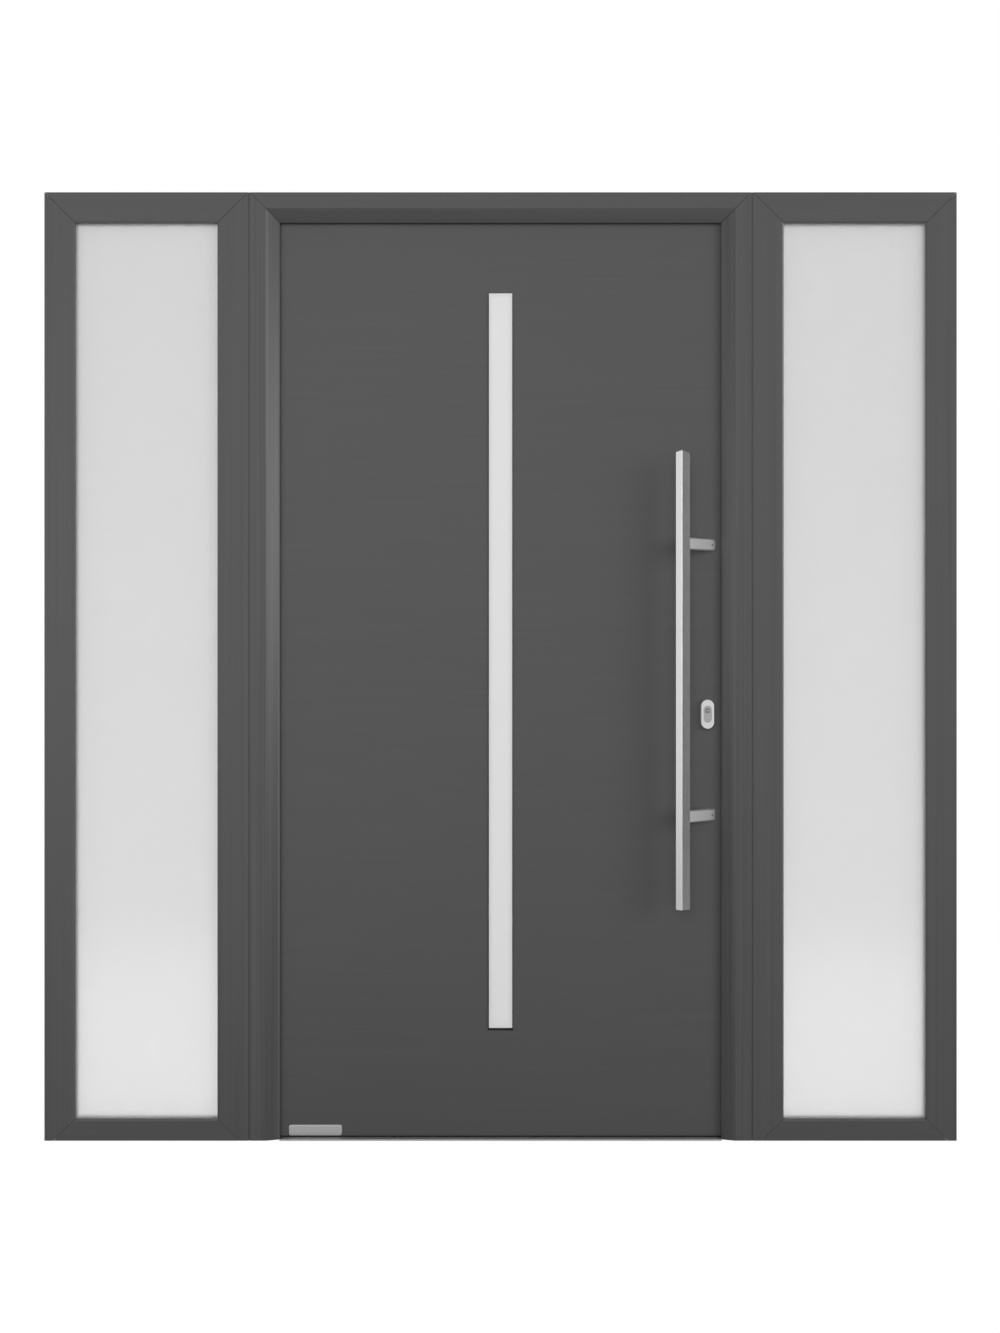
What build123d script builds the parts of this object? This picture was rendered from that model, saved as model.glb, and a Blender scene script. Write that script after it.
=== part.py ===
from build123d import *

import os
from math import cos, radians, sin, tan

# Front door with a glazed strip and two sidelights, in millimetres.
# Seen from outside, X runs to the right, Y into the building and Z up.
# The origin is on the floor, mid-width of the door and mid-depth of the frame.

# Door set
door_width = 1110
sidelight_width = 451
joint_gap = 4
joint_recess = 2
height = 2100
frame_depth = 90
mitre_gap = 0.3

# Door frame section
frame_face = 65
frame_base = 38
bevel_run = 30
bevel_drop = 13
bevel_crown = 1
lip_edge = 4
inner_shell_depth = 34
break_inset = 1

# Rebate seal
seal_proud = 3
seal_width = 6
seal_depth = 3
seal_from_lip = 4

# Leaf
lip_gap = 8
rebate_gap = 8
leaf_lift = 5
leaf_outer_depth = 24
leaf_break_depth = 12
leaf_step = 6
leaf_break_inset = 12
leaf_fold_radius = 1.5

# Threshold
threshold_height = 3
threshold_chamfer = 1.2
tread_grooves = 3
tread_groove_width = 3
tread_groove_depth = 1
tread_pitch = 6

# Sidelight section
side_face = 68
side_base = 46
side_lip_depth = 10
side_bevel_run = 4
side_bevel_drop = 1.5
floor_sink = 20
pane_thickness = 6
pane_cavity = 28
pane_edge_clearance = 4
outer_gasket = 4
inner_gasket = 3
gasket_width = 11
gasket_setback = 1
spacer_width = 7
bead_width = 12
bead_chamfer = 4

# Glass strip in the leaf
strip_width = 52
strip_bottom = 246
strip_below_leaf_top = 174
strip_proud = 4
strip_pane = 8
strip_gasket_width = 2
strip_gasket_depth = 10
strip_foot_gasket = 6
strip_foot_recess = 4
strip_spacer_width = 6
strip_inner_pane_back = 18
trim_flange = 14
trim_thickness = 3
trim_wall = 2
trim_clearance = 0.2

# Pull bar
pull_z = 1020
pull_length = 1006
pull_meet_face = 18
pull_side_face = 27
pull_edge_radius = 0.5
pull_standoff = 68
pull_slant = 45
pull_top_slope = 16
support_backset = 41
support_spacing = 600
support_width = 17
support_height = 27
support_corner = 4

# Lock
backset = 49
cylinder_z = 952
cylinder_diameter = 17
cylinder_stem = 10
cylinder_height = 33
cylinder_set_in = 2
cylinder_clearance = 0.3
keyway_width = 2
keyway_height = 9
keyway_depth = 8
escutcheon_width = 33
escutcheon_length = 69
escutcheon_thickness = 12
escutcheon_bevel_width = 2.5
escutcheon_bevel_depth = 5
well_width = 18
well_length = 38
lever_above_cylinder = 92
lever_diameter = 20
lever_side = 18
lever_edge_radius = 1
lever_reach = 56
lever_arm = 125
rose_diameter = 52
rose_thickness = 9
rose_bevel = 2

# Lock edge
faceplate_width = 20
faceplate_thickness = 3
faceplate_end = 130
bolt_width = 13
bolt_length = 32
bolt_depth = 16
hook_distance = 620
strike_thickness = 2
strike_length = 110
strike_pocket_depth = 15
slot_clearance = 1

# Hinges
hinge_end_distance = 200
hinge_height = 110
hinge_leaf_knuckle = 44
knuckle_gap = 1
knuckle_radius = 10
hinge_clearance = 5
hinge_plate_width = 30
hinge_plate_thickness = 4
hinge_plate_edge = 4
pin_radius = 5
pin_clearance = 0.1
pin_cap_radius = 7
pin_cap_height = 4

# Depths from outside to inside
y_out = -frame_depth / 2
y_in = frame_depth / 2
y_lip_back = y_out + bevel_drop + lip_edge
y_inner_shell = y_in - inner_shell_depth
y_leaf = y_lip_back + lip_gap
y_leaf_break = y_leaf + leaf_outer_depth
y_leaf_inner = y_leaf_break + leaf_break_depth
y_side_lip_back = y_out + side_lip_depth
y_pane = y_side_lip_back + outer_gasket
y_cavity = y_pane + pane_thickness
y_inner_pane = y_cavity + pane_cavity
y_pane_back = y_inner_pane + pane_thickness
y_bead = y_pane_back + inner_gasket
y_strip = y_leaf - strip_proud
y_strip_spacer = y_strip + strip_pane
y_strip_back = y_in - strip_inner_pane_back
y_strip_inner_pane = y_strip_back - pane_thickness

# Widths and heights
door_half = door_width / 2
side_inner_x = door_half + joint_gap
side_outer_x = side_inner_x + sidelight_width
lip_x = door_half - frame_face
wall_x = door_half - frame_base
leaf_half = wall_x - rebate_gap
leaf_top = height - frame_base - rebate_gap
cylinder_x = leaf_half - backset
lever_z = cylinder_z + lever_above_cylinder
cylinder_top = cylinder_z + cylinder_diameter / 2
escutcheon_z = cylinder_top - cylinder_height / 2
strip_top = leaf_top - strip_below_leaf_top
strip_length = strip_top - strip_bottom
strip_centre_z = (strip_top + strip_bottom) / 2
slot_width = strip_width + 2 * strip_gasket_width
slot_length = strip_length + 2 * strip_gasket_width
bolt_heights = (cylinder_z - hook_distance, cylinder_z, lever_z, cylinder_z + hook_distance)
faceplate_z = (bolt_heights[0] + bolt_heights[-1]) / 2
faceplate_length = 2 * (hook_distance + faceplate_end)
edge_y = (y_leaf_inner + y_in) / 2

# Hinge axis
hinge_x = -(wall_x + leaf_half) / 2
hinge_y = y_in + hinge_clearance + knuckle_radius
hinge_bottoms = (
    leaf_lift + hinge_end_distance,
    (leaf_lift + leaf_top - hinge_height) / 2,
    leaf_top - hinge_end_distance - hinge_height,
)


def save(part, name):
    """Label a finished piece and write it as a STEP file."""
    part.label = name
    export_step(part, f"parts/{name}.step")


def elevation(depth):
    """Upright plane at a depth, facing outside: x runs right and y runs up."""
    return Plane.XZ.offset(-depth)


def section_plane(corner, inward):
    """Plane of a bar's section at a corner: x runs inward and y runs into the building."""
    inward = Vector(*inward)
    return Plane(origin=corner, x_dir=inward, z_dir=inward.cross(Vector(0, 1, 0)))


def bar(section, side, length, mitre_start=True, mitre_end=True):
    """Straight bar along a side, its ends mitred unless they are square."""
    far_end = side.origin + side.z_dir * length
    with BuildPart() as piece:
        with BuildSketch(side):
            add(section)
        extrude(amount=length)
        if mitre_start:
            start_cut = Plane(side.origin, z_dir=side.z_dir - side.x_dir)
            split(bisect_by=start_cut.offset(mitre_gap / 2), keep=Keep.TOP)
        if mitre_end:
            end_cut = Plane(far_end, z_dir=-side.z_dir - side.x_dir)
            split(bisect_by=end_cut.offset(mitre_gap / 2), keep=Keep.TOP)
    return piece.part


def door_bars(section, foot=0):
    """Hinge jamb, head and lock jamb with one section, mitred at the head."""
    hinge_side = section_plane((-door_half, 0, foot), (1, 0, 0))
    head_side = section_plane((-door_half, 0, height), (0, 0, -1))
    lock_side = section_plane((door_half, 0, height), (-1, 0, 0))
    return (
        bar(section, hinge_side, height - foot, mitre_start=False),
        bar(section, head_side, door_width),
        bar(section, lock_side, height - foot, mitre_end=False),
    )


def above_floor(piece):
    """The share of a bar that stands above the floor."""
    with BuildPart() as standing:
        add(piece)
        split(bisect_by=Plane.XY, keep=Keep.TOP)
    return standing.part


def sidelight_bars(section, left_x):
    """Left stile, top rail, right stile and bottom rail of a sidelight that starts at left_x."""
    right_x = left_x + sidelight_width
    stile = height + floor_sink
    left_side = section_plane((left_x, 0, -floor_sink), (1, 0, 0))
    top_side = section_plane((left_x, 0, height), (0, 0, -1))
    right_side = section_plane((right_x, 0, height), (-1, 0, 0))
    bottom_side = section_plane((right_x, 0, -floor_sink), (0, 0, 1))
    return (
        above_floor(bar(section, left_side, stile)),
        bar(section, top_side, sidelight_width),
        above_floor(bar(section, right_side, stile)),
        above_floor(bar(section, bottom_side, sidelight_width)),
    )


def box_section(width, y_from, y_to, inset=0):
    """Rectangular bar section from the outer edge inward, between two depths."""
    with BuildSketch() as section:
        with Locations((inset, y_from)):
            Rectangle(width - 2 * inset, y_to - y_from, align=(Align.MIN, Align.MIN))
    return section.sketch


def group(pieces):
    """Like pieces that share a name."""
    with BuildPart() as together:
        add(pieces)
    return together.part


def cylinder_profile(clearance, mode):
    """Round head and narrow stem of the lock cylinder, at its place on the leaf."""
    stem = cylinder_stem + 2 * clearance
    stem_bottom = cylinder_top - cylinder_height - clearance
    with Locations((cylinder_x, cylinder_z)):
        Circle(cylinder_diameter / 2 + clearance, mode=mode)
    with Locations((cylinder_x, stem_bottom)):
        SlotOverall(cylinder_z - stem_bottom, stem, rotation=90, align=(Align.MIN, Align.CENTER), mode=mode)


def leaf_outline(inset, bottom):
    """Leaf rectangle with its side and top edges inset, pierced for the strip and the cylinder."""
    top = leaf_top - inset
    with Locations((0, (top + bottom) / 2)):
        Rectangle(2 * (leaf_half - inset), top - bottom)
    with Locations((0, strip_centre_z)):
        Rectangle(slot_width, slot_length, mode=Mode.SUBTRACT)
    cylinder_profile(cylinder_clearance, Mode.SUBTRACT)


os.makedirs("parts", exist_ok=True)

# Outer profiles of the door frame, with a rounded bevel and a groove for the seal
seal_centre = frame_face - seal_from_lip - seal_width / 2
with BuildSketch() as door_outer_section:
    with BuildLine():
        flat = Line((0, y_out), (frame_face - bevel_run, y_out))
        rounding = SagittaArc(flat @ 1, (frame_face, y_out + bevel_drop), -bevel_crown)
        Polyline(rounding @ 1, (frame_face, y_lip_back), (0, y_lip_back), flat @ 0)
    make_face()
    with Locations((seal_centre, y_lip_back)):
        Rectangle(seal_width, seal_depth, align=(Align.CENTER, Align.MAX), mode=Mode.SUBTRACT)
hinge_jamb_outer, head_outer, lock_jamb_outer = door_bars(door_outer_section.sketch)
save(hinge_jamb_outer, "hinge_jamb_outer_profile")
save(head_outer, "head_outer_profile")
save(lock_jamb_outer, "lock_jamb_outer_profile")

# Inner profiles of the door frame; the lock jamb has pockets behind the strikes
hinge_jamb_inner, head_inner, lock_jamb_inner = door_bars(box_section(frame_base, y_inner_shell, y_in))
save(hinge_jamb_inner, "hinge_jamb_inner_profile")
save(head_inner, "head_inner_profile")
with BuildPart() as lock_jamb_inner_profile:
    add(lock_jamb_inner)
    with BuildSketch(Plane.YZ.offset(wall_x)):
        with Locations([(edge_y, z) for z in bolt_heights]):
            Rectangle(bolt_width + 2 * slot_clearance, bolt_length + 2 * slot_clearance)
    extrude(amount=strike_pocket_depth, mode=Mode.SUBTRACT)
save(lock_jamb_inner_profile.part, "lock_jamb_inner_profile")

# Rebate seal pressed into the groove behind the lip
with BuildSketch() as seal_section:
    with BuildLine():
        seal_base = Polyline(
            (seal_centre - seal_width / 2, y_lip_back),
            (seal_centre - seal_width / 2, y_lip_back - seal_depth),
            (seal_centre + seal_width / 2, y_lip_back - seal_depth),
            (seal_centre + seal_width / 2, y_lip_back),
        )
        ThreePointArc(seal_base @ 1, (seal_centre, y_lip_back + seal_proud), seal_base @ 0)
    make_face()
save(group(door_bars(seal_section.sketch, threshold_height)), "rebate_seal")

# Threshold between the jambs, grooved where the foot treads
with BuildPart() as threshold:
    with BuildSketch():
        with Locations((0, y_out)):
            Rectangle(2 * lip_x, y_lip_back - y_out, align=(Align.CENTER, Align.MIN))
        with Locations((0, y_lip_back)):
            Rectangle(2 * wall_x, y_in - y_lip_back, align=(Align.CENTER, Align.MIN))
    extrude(amount=threshold_height)
    chamfer(edges().filter_by(Axis.X).group_by(Axis.Y)[0].sort_by(Axis.Z)[-1], length=threshold_chamfer)
    with BuildSketch(Plane.XY.offset(threshold_height)):
        with Locations((0, (y_out + y_leaf) / 2)):
            with GridLocations(0, tread_pitch, 1, tread_grooves):
                Rectangle(2 * (lip_x - tread_pitch), tread_groove_width)
    extrude(amount=-tread_groove_depth, mode=Mode.SUBTRACT)
save(threshold.part, "threshold")

# Strike plates on the lock jamb
with BuildPart() as strike_plates:
    with BuildSketch(Plane.YZ.offset(wall_x)):
        with Locations((edge_y, (cylinder_z + lever_z) / 2)):
            Rectangle(faceplate_width, lever_above_cylinder + strike_length)
        with Locations((edge_y, bolt_heights[0]), (edge_y, bolt_heights[-1])):
            Rectangle(faceplate_width, strike_length)
        with Locations([(edge_y, z) for z in bolt_heights]):
            Rectangle(
                bolt_width + 2 * slot_clearance,
                bolt_length + 2 * slot_clearance,
                mode=Mode.SUBTRACT,
            )
    extrude(amount=-strike_thickness)
save(strike_plates.part, "strike_plates")

# Coupling strips in the joints beside the door frame
joint_x = door_half + joint_gap / 2
with BuildPart() as coupling_strips:
    with BuildSketch():
        with Locations((-joint_x, 0), (joint_x, 0)):
            Rectangle(joint_gap, frame_depth - 2 * joint_recess)
    extrude(amount=height)
save(coupling_strips.part, "coupling_strips")

# Sidelight sections
with BuildSketch() as side_outer_section:
    with BuildLine():
        Polyline(
            (0, y_out),
            (side_face - side_bevel_run, y_out),
            (side_face, y_out + side_bevel_drop),
            (side_face, y_side_lip_back),
            (0, y_side_lip_back),
            close=True,
        )
    make_face()
side_inner_section = box_section(side_base, y_inner_shell, y_in)
side_break_section = box_section(side_base, y_side_lip_back, y_inner_shell, break_inset)
with BuildSketch() as bead_section:
    with Locations((side_base, y_bead)):
        Rectangle(bead_width, y_in - y_bead, align=(Align.MIN, Align.MIN))
    chamfer(bead_section.vertices().sort_by(Axis.X)[-2:].sort_by(Axis.Y)[-1], length=bead_chamfer)

# Sidelights
pane_edge = side_base + pane_edge_clearance
gasket_edge = side_face - gasket_setback
bead_gasket_edge = side_base + bead_width - gasket_setback
bead_gasket_width = bead_gasket_edge - pane_edge
pane_top = height - pane_edge
pane_bottom = pane_edge - floor_sink
pane_width = sidelight_width - 2 * pane_edge
pane_height = pane_top - pane_bottom
pane_z = (pane_top + pane_bottom) / 2
sight_width = sidelight_width - 2 * gasket_edge
sight_height = height + floor_sink - 2 * gasket_edge
bead_sight = (sidelight_width - 2 * bead_gasket_edge, height + floor_sink - 2 * bead_gasket_edge)


def pane(left_x, y_from, y_to):
    """One pane of a sidelight between two depths."""
    with BuildPart() as sheet:
        with BuildSketch(elevation(y_to)):
            with Locations((left_x + sidelight_width / 2, pane_z)):
                Rectangle(pane_width, pane_height)
        extrude(amount=y_to - y_from)
    return sheet.part


def ring(left_x, y_from, y_to, inner_width, inner_height, wall):
    """Rectangular ring round the middle of a sidelight between two depths."""
    with BuildPart() as loop:
        with BuildSketch(elevation(y_to)):
            with Locations((left_x + sidelight_width / 2, pane_z)):
                Rectangle(inner_width + 2 * wall, inner_height + 2 * wall)
                Rectangle(inner_width, inner_height, mode=Mode.SUBTRACT)
        extrude(amount=y_to - y_from)
    return loop.part


def sidelight(side, left_x, stile_names):
    """Write the pieces of one sidelight; return its thermal breaks."""
    first, top, second, bottom = sidelight_bars(side_outer_section.sketch, left_x)
    save(first, f"{side}_{stile_names[0]}")
    save(top, f"{side}_top_rail")
    save(second, f"{side}_{stile_names[1]}")
    save(bottom, f"{side}_bottom_rail")
    save(group(sidelight_bars(side_inner_section, left_x)), f"{side}_inner_profiles")
    save(pane(left_x, y_pane, y_cavity), f"{side}_outer_pane")
    save(pane(left_x, y_inner_pane, y_pane_back), f"{side}_inner_pane")
    spacer_inner = (pane_width - 2 * spacer_width, pane_height - 2 * spacer_width)
    save(ring(left_x, y_cavity, y_inner_pane, *spacer_inner, spacer_width), f"{side}_spacer")
    outer_ring = ring(left_x, y_side_lip_back, y_pane, sight_width, sight_height, gasket_width)
    inner_ring = ring(left_x, y_pane_back, y_bead, *bead_sight, bead_gasket_width)
    save(group([outer_ring, inner_ring]), f"{side}_glazing_gaskets")
    save(group(sidelight_bars(bead_section.sketch, left_x)), f"{side}_glazing_beads")
    return sidelight_bars(side_break_section, left_x)


left_breaks = sidelight("left", -side_outer_x, ("outer_stile", "inner_stile"))
right_breaks = sidelight("right", side_inner_x, ("inner_stile", "outer_stile"))
door_breaks = door_bars(box_section(frame_base, y_lip_back, y_inner_shell, break_inset))
save(group([*left_breaks, *door_breaks, *right_breaks]), "frame_thermal_breaks")

# Leaf panels
with BuildPart() as leaf_outer_panel:
    with BuildSketch(elevation(y_leaf_break)):
        leaf_outline(leaf_step, leaf_lift)
    extrude(amount=leaf_outer_depth)
    front = faces().sort_by(Axis.Y)[0]
    fillet(front.outer_wire().edges(), radius=leaf_fold_radius)
    with BuildSketch(elevation(y_leaf + strip_gasket_depth)):
        with Locations((0, strip_bottom - strip_foot_gasket / 2)):
            Rectangle(slot_width, strip_foot_gasket)
    extrude(amount=strip_gasket_depth, mode=Mode.SUBTRACT)
save(leaf_outer_panel.part, "leaf_outer_panel")

with BuildPart() as leaf_thermal_break:
    with BuildSketch(elevation(y_leaf_inner)):
        leaf_outline(leaf_break_inset, leaf_lift + leaf_step)
    extrude(amount=leaf_break_depth)
save(leaf_thermal_break.part, "leaf_thermal_break")

with BuildPart() as leaf_inner_panel:
    with BuildSketch(elevation(y_in)):
        leaf_outline(0, leaf_lift)
    extrude(amount=y_in - y_leaf_inner)
    back = faces().sort_by(Axis.Y)[-1]
    fillet(back.outer_wire().edges(), radius=leaf_fold_radius)
    with BuildSketch(Plane.YZ.offset(leaf_half)):
        with Locations((edge_y, faceplate_z)):
            Rectangle(faceplate_width, faceplate_length)
    extrude(amount=-faceplate_thickness, mode=Mode.SUBTRACT)
    with BuildSketch(Plane.YZ.offset(leaf_half)):
        with Locations([(edge_y, z) for z in bolt_heights]):
            Rectangle(bolt_width + 2 * slot_clearance, bolt_length + 2 * slot_clearance)
    extrude(amount=-bolt_depth, mode=Mode.SUBTRACT)
save(leaf_inner_panel.part, "leaf_inner_panel")

# Lock faceplate, flush in the lock edge, and its bolts drawn back
with BuildPart() as lock_faceplate:
    with BuildSketch(Plane.YZ.offset(leaf_half)):
        with Locations((edge_y, faceplate_z)):
            Rectangle(faceplate_width, faceplate_length)
        with Locations([(edge_y, z) for z in bolt_heights]):
            Rectangle(
                bolt_width + 2 * slot_clearance,
                bolt_length + 2 * slot_clearance,
                mode=Mode.SUBTRACT,
            )
    extrude(amount=-faceplate_thickness)
save(lock_faceplate.part, "lock_faceplate")

with BuildPart() as lock_bolts:
    with BuildSketch(Plane.YZ.offset(leaf_half - bolt_depth)):
        with Locations([(edge_y, z) for z in bolt_heights]):
            Rectangle(bolt_width, bolt_length)
    extrude(amount=bolt_depth)
save(lock_bolts.part, "lock_bolts")

# Glass strip: two panes on a spacer, a gasket outside and a trim inside
with BuildPart() as strip_outer_pane:
    with BuildSketch(elevation(y_strip_spacer)):
        with Locations((0, strip_centre_z)):
            Rectangle(strip_width, strip_length)
    extrude(amount=strip_pane)
save(strip_outer_pane.part, "strip_outer_pane")

with BuildPart() as strip_inner_pane:
    with BuildSketch(elevation(y_strip_back)):
        with Locations((0, strip_centre_z)):
            Rectangle(strip_width, strip_length)
    extrude(amount=pane_thickness)
save(strip_inner_pane.part, "strip_inner_pane")

with BuildPart() as strip_spacer:
    with BuildSketch(elevation(y_strip_inner_pane)):
        with Locations((0, strip_centre_z)):
            Rectangle(strip_width, strip_length)
            Rectangle(
                strip_width - 2 * strip_spacer_width,
                strip_length - 2 * strip_spacer_width,
                mode=Mode.SUBTRACT,
            )
    extrude(amount=y_strip_inner_pane - y_strip_spacer)
save(strip_spacer.part, "strip_spacer")

with BuildPart() as strip_gasket:
    with BuildSketch(elevation(y_leaf + strip_gasket_depth)):
        with Locations((0, strip_centre_z)):
            Rectangle(slot_width, slot_length)
            Rectangle(strip_width, strip_length, mode=Mode.SUBTRACT)
        with Locations((0, strip_bottom - strip_foot_gasket / 2)):
            Rectangle(slot_width, strip_foot_gasket)
    extrude(amount=strip_gasket_depth)
    with BuildSketch(elevation(y_leaf + strip_foot_recess)):
        with Locations((0, strip_bottom - strip_foot_gasket / 2)):
            Rectangle(slot_width, strip_foot_gasket)
    extrude(amount=strip_foot_recess, mode=Mode.SUBTRACT)
save(strip_gasket.part, "strip_gasket")

with BuildPart() as strip_inside_trim:
    leg_width = slot_width - 2 * trim_clearance
    leg_length = slot_length - 2 * trim_clearance
    with BuildSketch(elevation(y_in)):
        with Locations((0, strip_centre_z)):
            Rectangle(leg_width, leg_length)
            Rectangle(leg_width - 2 * trim_wall, leg_length - 2 * trim_wall, mode=Mode.SUBTRACT)
    extrude(amount=strip_inner_pane_back)
    with BuildSketch(elevation(y_in)):
        with Locations((0, strip_centre_z)):
            Rectangle(slot_width + 2 * trim_flange, slot_length + 2 * trim_flange)
            Rectangle(leg_width - 2 * trim_wall, leg_length - 2 * trim_wall, mode=Mode.SUBTRACT)
    extrude(amount=-trim_thickness)
    fillet(faces().sort_by(Axis.Y)[-1].outer_wire().edges(), radius=trim_thickness / 2)
save(strip_inside_trim.part, "strip_inside_trim")

# Pull bar, turned so that one face meets the slanted supports squarely
slant = radians(pull_slant)
pull_y = y_leaf - pull_standoff
pull_x = leaf_half - support_backset - pull_standoff * tan(slant)
pull_bottom = pull_z - pull_length / 2
bar_plane = Plane((pull_x, pull_y, pull_bottom), x_dir=(sin(slant), cos(slant), 0), z_dir=(0, 0, 1))
with BuildPart() as pull_bar:
    with BuildSketch(bar_plane):
        RectangleRounded(pull_side_face, pull_meet_face, pull_edge_radius)
    extrude(amount=pull_length)
    front_y = pull_bar.part.bounding_box().min.Y
    slope = radians(pull_top_slope)
    top_cut = Plane((pull_x, front_y, pull_bottom + pull_length), z_dir=(0, sin(slope), cos(slope)))
    split(bisect_by=top_cut, keep=Keep.BOTTOM)
save(pull_bar.part, "pull_bar")

support_plane = Plane(
    (pull_x + pull_side_face / 2 * sin(slant), pull_y + pull_side_face / 2 * cos(slant), pull_z),
    x_dir=(cos(slant), -sin(slant), 0),
    z_dir=(sin(slant), cos(slant), 0),
)
with BuildPart() as pull_bar_supports:
    with BuildSketch(support_plane):
        with GridLocations(0, support_spacing, 1, 2):
            RectangleRounded(support_width, support_height, support_corner)
    extrude(amount=pull_standoff / cos(slant) + support_width)
    split(bisect_by=elevation(y_leaf), keep=Keep.TOP)
save(pull_bar_supports.part, "pull_bar_supports")

# Escutcheons outside and inside, and the cylinder through both
with BuildPart() as cylinder_escutcheons:
    for face_plane in (elevation(y_leaf), elevation(y_in + escutcheon_thickness)):
        with BuildSketch(face_plane):
            with Locations((cylinder_x, escutcheon_z)):
                SlotOverall(escutcheon_length, escutcheon_width, rotation=90)
            cylinder_profile(cylinder_clearance, Mode.SUBTRACT)
        extrude(amount=escutcheon_thickness)
    for cap in (faces().sort_by(Axis.Y)[0], faces().sort_by(Axis.Y)[-1]):
        rim = cap.outer_wire().edges()
        chamfer(rim, length=escutcheon_bevel_width, length2=escutcheon_bevel_depth, reference=cap)
    outer_well = elevation(y_leaf - escutcheon_thickness + cylinder_set_in)
    for well_floor in (outer_well, elevation(y_in + escutcheon_thickness)):
        with BuildSketch(well_floor):
            with Locations((cylinder_x, escutcheon_z)):
                SlotOverall(well_length, well_width, rotation=90)
        extrude(amount=cylinder_set_in, mode=Mode.SUBTRACT)
save(cylinder_escutcheons.part, "cylinder_escutcheons")

cylinder_out = y_leaf - escutcheon_thickness + cylinder_set_in
cylinder_in = y_in + escutcheon_thickness - cylinder_set_in
with BuildPart() as lock_cylinder:
    with BuildSketch(elevation(cylinder_in)):
        cylinder_profile(0, Mode.ADD)
    extrude(amount=cylinder_in - cylinder_out)
    with BuildSketch(elevation(cylinder_out), elevation(cylinder_in - keyway_depth)):
        with Locations((cylinder_x, cylinder_z)):
            Rectangle(keyway_width, keyway_height)
    extrude(amount=-keyway_depth, mode=Mode.SUBTRACT)
save(lock_cylinder.part, "lock_cylinder")

# Inside lever and its rose
with BuildPart() as lever_rose:
    with BuildSketch(elevation(y_in + rose_thickness)):
        with Locations((cylinder_x, lever_z)):
            Circle(rose_diameter / 2)
            Circle(lever_diameter / 2 + cylinder_clearance, mode=Mode.SUBTRACT)
    extrude(amount=rose_thickness)
    chamfer(faces().sort_by(Axis.Y)[-1].outer_wire().edges(), length=rose_bevel)
save(lever_rose.part, "lever_rose")

with BuildPart() as inside_lever:
    with BuildSketch(elevation(y_in + lever_reach)):
        with Locations((cylinder_x, lever_z)):
            Circle(lever_diameter / 2)
    extrude(amount=lever_reach)
    with BuildSketch(Plane.YZ.offset(cylinder_x + lever_diameter / 2)):
        with Locations((y_in + lever_reach, lever_z)):
            RectangleRounded(lever_side, lever_side, lever_edge_radius)
    extrude(amount=-lever_arm)
save(inside_lever.part, "inside_lever")

# Hinges on the inside face
end_knuckle = (hinge_height - hinge_leaf_knuckle) / 2 - knuckle_gap


def hinge_section(plate_x, web_x):
    """Plan of a hinge half: a web that runs from its plate round the knuckle, with a pin hole."""
    with BuildSketch() as plan:
        with Locations((web_x, y_in)):
            Rectangle(hinge_plate_thickness, hinge_plate_thickness, align=(Align.CENTER, Align.MIN))
        with Locations((hinge_x, hinge_y)):
            Circle(knuckle_radius)
        make_hull()
        with Locations((plate_x, y_in)):
            Rectangle(hinge_plate_width, hinge_plate_thickness, align=(Align.CENTER, Align.MIN))
        with Locations((hinge_x, hinge_y)):
            Circle(pin_radius + pin_clearance, mode=Mode.SUBTRACT)
    return plan.sketch


plate_reach = hinge_plate_edge + hinge_plate_width / 2
web_reach = hinge_plate_edge + hinge_plate_thickness / 2
frame_half_plan = hinge_section(-wall_x - plate_reach, -wall_x - web_reach)
leaf_half_plan = hinge_section(-leaf_half + plate_reach, -leaf_half + web_reach)
with BuildPart() as hinge_frame_halves:
    for bottom in hinge_bottoms:
        knuckle_bottoms = (bottom, bottom + hinge_height - end_knuckle)
        with BuildSketch(*[Plane.XY.offset(z) for z in knuckle_bottoms]):
            add(frame_half_plan)
        extrude(amount=end_knuckle)
        with BuildSketch(Plane.XY.offset(bottom)):
            with Locations((-wall_x - plate_reach, y_in)):
                Rectangle(hinge_plate_width, hinge_plate_thickness, align=(Align.CENTER, Align.MIN))
        extrude(amount=hinge_height)
save(hinge_frame_halves.part, "hinge_frame_halves")

with BuildPart() as hinge_leaf_halves:
    for bottom in hinge_bottoms:
        with BuildSketch(Plane.XY.offset(bottom + end_knuckle + knuckle_gap)):
            add(leaf_half_plan)
        extrude(amount=hinge_leaf_knuckle)
        with BuildSketch(Plane.XY.offset(bottom)):
            with Locations((-leaf_half + plate_reach, y_in)):
                Rectangle(hinge_plate_width, hinge_plate_thickness, align=(Align.CENTER, Align.MIN))
        extrude(amount=hinge_height)
save(hinge_leaf_halves.part, "hinge_leaf_halves")

with BuildPart() as hinge_pins:
    for bottom in hinge_bottoms:
        with BuildSketch(Plane.XY.offset(bottom)):
            with Locations((hinge_x, hinge_y)):
                Circle(pin_radius)
        extrude(amount=hinge_height)
        with BuildSketch(Plane.XY.offset(bottom - pin_cap_height), Plane.XY.offset(bottom + hinge_height)):
            with Locations((hinge_x, hinge_y)):
                Circle(pin_cap_radius)
        extrude(amount=pin_cap_height)
save(hinge_pins.part, "hinge_pins")
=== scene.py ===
import logging
import math
from collections.abc import Iterable, Sequence
from dataclasses import dataclass, replace
from enum import Enum

import bmesh
import bpy
from mathutils import Matrix, Vector


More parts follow.
